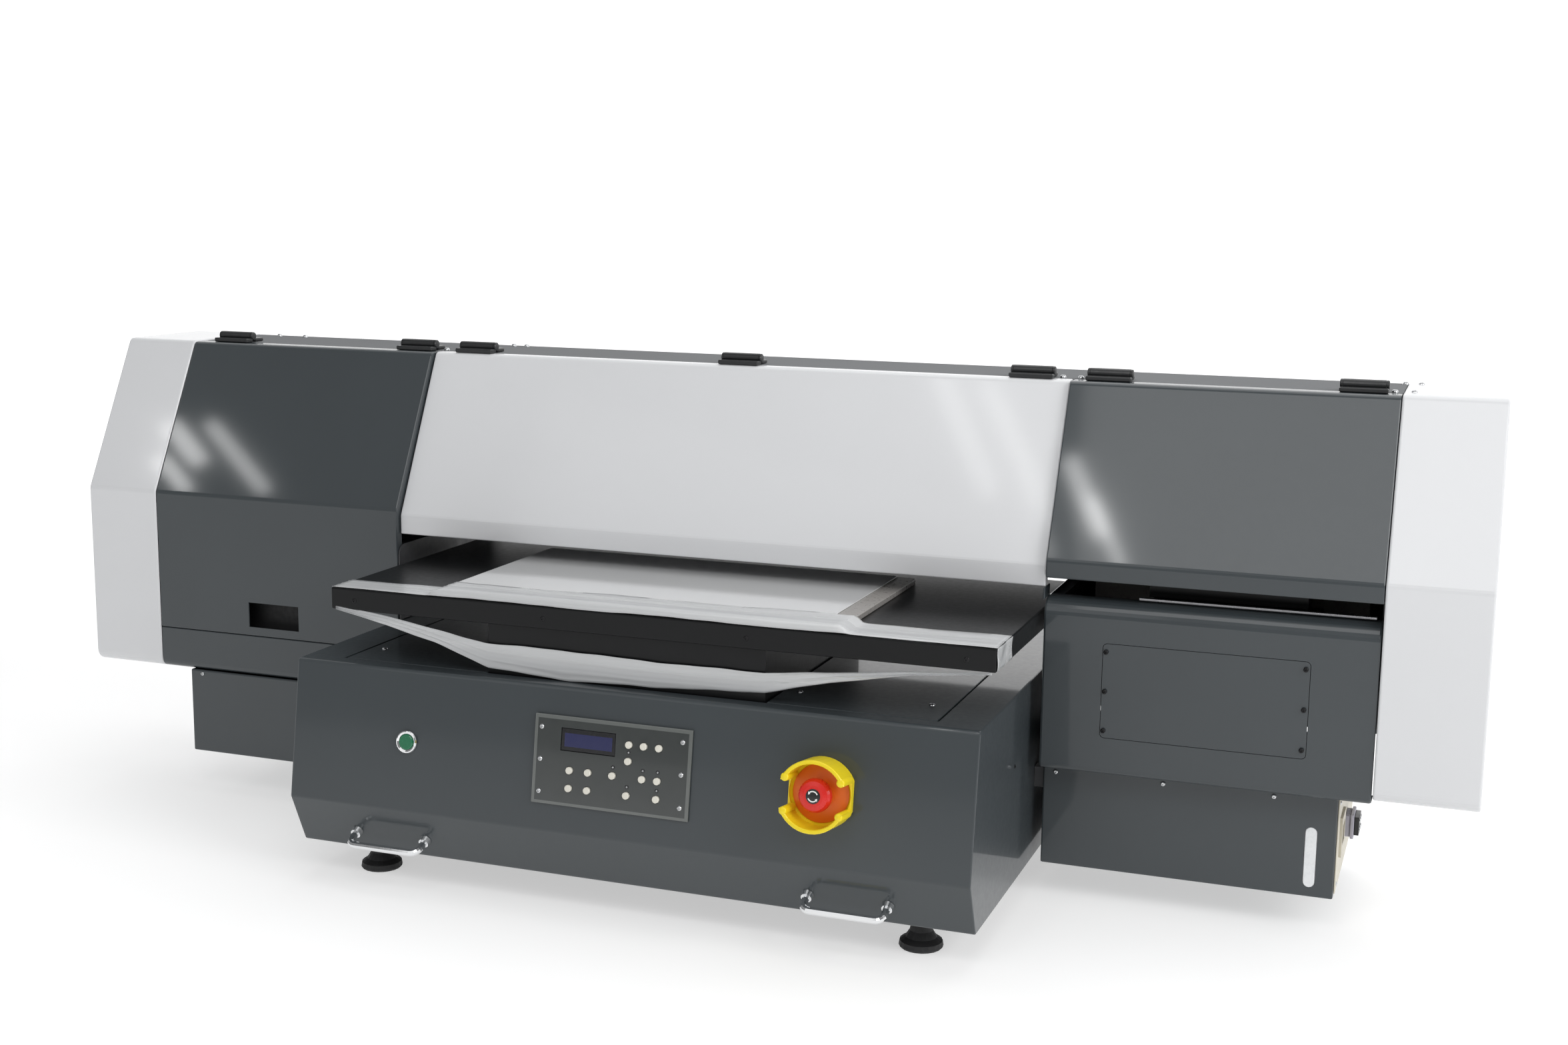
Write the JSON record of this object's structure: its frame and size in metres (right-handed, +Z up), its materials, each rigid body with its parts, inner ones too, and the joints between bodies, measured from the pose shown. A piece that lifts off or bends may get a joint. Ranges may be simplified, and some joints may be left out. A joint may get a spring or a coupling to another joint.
{
  "type": "flatbed uv printer",
  "caption": "Flatbed UV printer: low base with a sliding table, straddled by a full-width print gantry with hinged lids, front keypad and emergency stop.",
  "frame": {"origin": "on the floor, under the centre of the machine's outer box", "axes": "+X to the right of someone facing the control panel, +Y from the front of the machine to its rear, +Z up"},
  "size_m": [1.9496, 0.804, 0.6702],
  "materials": {
    "grey_coat": "glossy fine-textured grey powder coat",
    "white_coat": "satin white powder coat",
    "pale_gloss": "glossy pale grey paint",
    "black_anodised": "black anodised",
    "steel": "ground",
    "chrome": "polished",
    "rubber": "matte",
    "black_plastic": "satin",
    "smoked_panel": "clear acrylic over grey print",
    "lcd": "dark glass in a black bezel",
    "cream_plastic": "satin",
    "green_plastic": "satin",
    "yellow_plastic": "satin",
    "red_plastic": "satin",
    "beige_plate": "satin",
    "raw_aluminium": "extruded",
    "frame_steel": "black enamel"
  },
  "bodies": {
    "frame": {"base_shell": "grey_coat", "base_frame": "frame_steel", "left_top_plate": "grey_coat", "right_top_plate": "grey_coat", "foot_front_left": "rubber", "foot_front_right": "rubber", "foot_rear_left": "rubber", "foot_rear_right": "rubber", "left_handle": "chrome", "right_handle": "chrome", "y_guide_bed": "steel", "control_panel": "smoked_panel", "lcd_display": "lcd", "start_bezel": "chrome", "estop_guard": "yellow_plastic", "left_side_frame": "frame_steel", "right_side_frame": "frame_steel", "x_beam": "raw_aluminium", "left_top_cover": "pale_gloss", "centre_top_cover": "pale_gloss", "right_top_cover": "pale_gloss", "rear_cover": "grey_coat", "left_end_cap": "white_coat", "right_end_cap": "white_coat", "left_lower_panel": "grey_coat", "left_lower_box": "grey_coat", "right_front_box": "grey_coat", "access_panel": "grey_coat", "right_lower_box": "grey_coat", "inlet_plate": "beige_plate"},
    "table": {"table_top": "black_anodised", "table_saddle": "black_anodised"},
    "ball_screw": {"table_ball_screw": "steel"},
    "carriage": {"print_carriage": "black_anodised"},
    "cap_unit": {"capping_station": "black_plastic"},
    "left_lid_body": {"left_lid": "grey_coat", "left_lid_hinge_1": "black_plastic", "left_lid_hinge_2": "black_plastic"},
    "centre_lid_body": {"centre_lid": "white_coat", "centre_lid_hinge_1": "black_plastic", "centre_lid_hinge_2": "black_plastic", "centre_lid_hinge_3": "black_plastic"},
    "right_lid_body": {"right_lid": "grey_coat", "right_lid_hinge_1": "black_plastic", "right_lid_hinge_2": "black_plastic"},
    "start_button_body": {"start_button": "green_plastic"},
    "estop_body": {"estop_button": "red_plastic"},
    "key_01_body": {"key_01": "cream_plastic"},
    "key_02_body": {"key_02": "cream_plastic"},
    "key_03_body": {"key_03": "cream_plastic"},
    "key_04_body": {"key_04": "cream_plastic"},
    "key_05_body": {"key_05": "cream_plastic"},
    "key_06_body": {"key_06": "cream_plastic"},
    "key_07_body": {"key_07": "cream_plastic"},
    "key_08_body": {"key_08": "cream_plastic"},
    "key_09_body": {"key_09": "cream_plastic"},
    "key_10_body": {"key_10": "cream_plastic"},
    "key_11_body": {"key_11": "cream_plastic"},
    "key_12_body": {"key_12": "cream_plastic"},
    "key_13_body": {"key_13": "cream_plastic"}
  },
  "joints": [
    {"name": "table_travel", "type": "slide", "parent": "frame", "child": "table", "axis": [0, 1, 0], "range_m": [0, 0.315]},
    {"name": "screw_spin", "type": "hinge", "parent": "frame", "child": "ball_screw", "pos_m": [-0.01415, 0.02897, 0.243], "axis": [0, 1, 0], "range_deg": [0, 5671]},
    {"name": "head_travel", "type": "slide", "parent": "frame", "child": "carriage", "axis": [-1, 0, 0], "range_m": [0, 1.34]},
    {"name": "cap_lift", "type": "slide", "parent": "frame", "child": "cap_unit", "axis": [0, 0, 1], "range_m": [0, 0.004]},
    {"name": "left_lid_hinge", "type": "hinge", "parent": "frame", "child": "left_lid_body", "pos_m": [-0.65735, 0.02847, 0.664], "axis": [-1, 0, 0], "range_deg": [0, 95]},
    {"name": "centre_lid_hinge", "type": "hinge", "parent": "frame", "child": "centre_lid_body", "pos_m": [-0.00065, 0.02847, 0.664], "axis": [-1, 0, 0], "range_deg": [0, 95]},
    {"name": "right_lid_hinge", "type": "hinge", "parent": "frame", "child": "right_lid_body", "pos_m": [0.65475, 0.02847, 0.664], "axis": [-1, 0, 0], "range_deg": [0, 95]},
    {"name": "start_press", "type": "slide", "parent": "frame", "child": "start_button_body", "axis": [0, 0.9891, -0.1469], "range_m": [0, 0.003], "stiffness_N_per_m": 500},
    {"name": "estop_press", "type": "slide", "parent": "frame", "child": "estop_body", "axis": [0, 0.9891, -0.1469], "range_m": [0, 0.005], "stiffness_N_per_m": 1200},
    {"name": "key_01_press", "type": "slide", "parent": "frame", "child": "key_01_body", "axis": [0, 0.9891, -0.1469], "range_m": [0, 0.0012], "stiffness_N_per_m": 400},
    {"name": "key_02_press", "type": "slide", "parent": "frame", "child": "key_02_body", "axis": [0, 0.9891, -0.1469], "range_m": [0, 0.0012], "stiffness_N_per_m": 400},
    {"name": "key_03_press", "type": "slide", "parent": "frame", "child": "key_03_body", "axis": [0, 0.9891, -0.1469], "range_m": [0, 0.0012], "stiffness_N_per_m": 400},
    {"name": "key_04_press", "type": "slide", "parent": "frame", "child": "key_04_body", "axis": [0, 0.9891, -0.1469], "range_m": [0, 0.0012], "stiffness_N_per_m": 400},
    {"name": "key_05_press", "type": "slide", "parent": "frame", "child": "key_05_body", "axis": [0, 0.9891, -0.1469], "range_m": [0, 0.0012], "stiffness_N_per_m": 400},
    {"name": "key_06_press", "type": "slide", "parent": "frame", "child": "key_06_body", "axis": [0, 0.9891, -0.1469], "range_m": [0, 0.0012], "stiffness_N_per_m": 400},
    {"name": "key_07_press", "type": "slide", "parent": "frame", "child": "key_07_body", "axis": [0, 0.9891, -0.1469], "range_m": [0, 0.0012], "stiffness_N_per_m": 400},
    {"name": "key_08_press", "type": "slide", "parent": "frame", "child": "key_08_body", "axis": [0, 0.9891, -0.1469], "range_m": [0, 0.0012], "stiffness_N_per_m": 400},
    {"name": "key_09_press", "type": "slide", "parent": "frame", "child": "key_09_body", "axis": [0, 0.9891, -0.1469], "range_m": [0, 0.0012], "stiffness_N_per_m": 400},
    {"name": "key_10_press", "type": "slide", "parent": "frame", "child": "key_10_body", "axis": [0, 0.9891, -0.1469], "range_m": [0, 0.0012], "stiffness_N_per_m": 400},
    {"name": "key_11_press", "type": "slide", "parent": "frame", "child": "key_11_body", "axis": [0, 0.9891, -0.1469], "range_m": [0, 0.0012], "stiffness_N_per_m": 400},
    {"name": "key_12_press", "type": "slide", "parent": "frame", "child": "key_12_body", "axis": [0, 0.9891, -0.1469], "range_m": [0, 0.0012], "stiffness_N_per_m": 400},
    {"name": "key_13_press", "type": "slide", "parent": "frame", "child": "key_13_body", "axis": [0, 0.9891, -0.1469], "range_m": [0, 0.0012], "stiffness_N_per_m": 400}
  ],
  "couplings": [
    {"joint": "screw_spin", "follows": "table_travel", "rad_per_m": 314.16}
  ]
}
